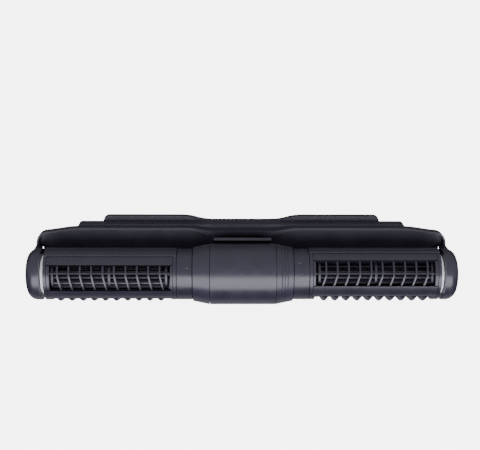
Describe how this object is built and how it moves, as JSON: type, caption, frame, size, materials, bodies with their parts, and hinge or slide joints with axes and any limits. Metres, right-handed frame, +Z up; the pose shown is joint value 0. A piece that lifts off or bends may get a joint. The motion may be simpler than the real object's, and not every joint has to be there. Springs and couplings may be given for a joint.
{
  "type": "wave maker pump",
  "caption": "Long cross-flow aquarium wave pump: a central motor between turnable ribbed cages, held in a hooded bracket with a flat pad for the glass.",
  "frame": {"origin": "centre of the pad's face that lies on the glass", "axes": "+X along the rotor, to the right as seen from the front; +Y out of the pad, to the glass; +Z up"},
  "size_m": [0.3568, 0.0833, 0.0714],
  "materials": {
    "body_plastic": "satin black with a violet tint",
    "cage_plastic": "satin black",
    "impeller_plastic": "moulded black",
    "white_plastic": "white, low friction",
    "pad_rubber": "soft black pad",
    "seal_rubber": "soft black",
    "stainless_steel": "plain",
    "magnet_plating": "nickel plated",
    "zinc_steel": "zinc plated",
    "lamination_steel": "stacked sheet",
    "copper_wire": "enamelled winding",
    "bearing_ceramic": "white, ground",
    "board_laminate": "green laminate"
  },
  "bodies": {
    "bracket": {"back_frame": "body_plastic", "magnet_housing": "body_plastic", "magnet_cover": "body_plastic", "motor_shell": "body_plastic", "cable_gland": "body_plastic", "gland_nut": "body_plastic", "stator_can": "body_plastic", "end_cap_left": "body_plastic", "end_cap_right": "body_plastic", "motor_end_bell_left": "body_plastic", "motor_end_bell_right": "body_plastic", "end_ring_left": "white_plastic", "end_ring_right": "white_plastic", "glass_pad": "pad_rubber", "seal_ring_left": "seal_rubber", "seal_ring_right": "seal_rubber", "end_cap_screw_left": "stainless_steel", "end_cap_screw_right": "stainless_steel", "cover_screw_1": "stainless_steel", "cover_screw_2": "stainless_steel", "cover_screw_3": "stainless_steel", "cover_screw_4": "stainless_steel", "foot_screw_1": "stainless_steel", "foot_screw_2": "stainless_steel", "magnet_left": "magnet_plating", "magnet_right": "magnet_plating", "keeper_plate": "zinc_steel", "stator_core": "lamination_steel", "coil_1": "copper_wire", "coil_2": "copper_wire", "coil_3": "copper_wire", "coil_4": "copper_wire", "coil_5": "copper_wire", "coil_6": "copper_wire", "end_bearing_left": "bearing_ceramic", "end_bearing_right": "bearing_ceramic", "motor_bearing_left": "bearing_ceramic", "motor_bearing_right": "bearing_ceramic", "driver_board": "board_laminate"},
    "rotor": {"shaft": "stainless_steel", "magnet_rotor": "magnet_plating", "thrust_washer_left": "bearing_ceramic", "thrust_washer_right": "bearing_ceramic", "drive_coupler_left": "impeller_plastic", "drive_coupler_right": "impeller_plastic", "impeller_left": "impeller_plastic", "impeller_right": "impeller_plastic", "pivot_pin_left": "stainless_steel", "pivot_pin_right": "stainless_steel"},
    "cage_left": {"cage_shell_left": "cage_plastic", "cage_collar_left": "cage_plastic", "outlet_grille_left": "cage_plastic", "inlet_guard_left": "cage_plastic"},
    "cage_right": {"cage_shell_right": "cage_plastic", "cage_collar_right": "cage_plastic", "outlet_grille_right": "cage_plastic", "inlet_guard_right": "cage_plastic"}
  },
  "joints": [
    {"name": "rotor_spin", "type": "hinge", "parent": "bracket", "child": "rotor", "pos_m": [0, -0.058, 0], "axis": [1, 0, 0], "continuous": true},
    {"name": "cage_left_turn", "type": "hinge", "parent": "bracket", "child": "cage_left", "pos_m": [0, -0.058, 0], "axis": [-1, 0, 0], "range_deg": [-54, 36]},
    {"name": "cage_right_turn", "type": "hinge", "parent": "bracket", "child": "cage_right", "pos_m": [0, -0.058, 0], "axis": [-1, 0, 0], "range_deg": [-66.4, 23.6]}
  ]
}
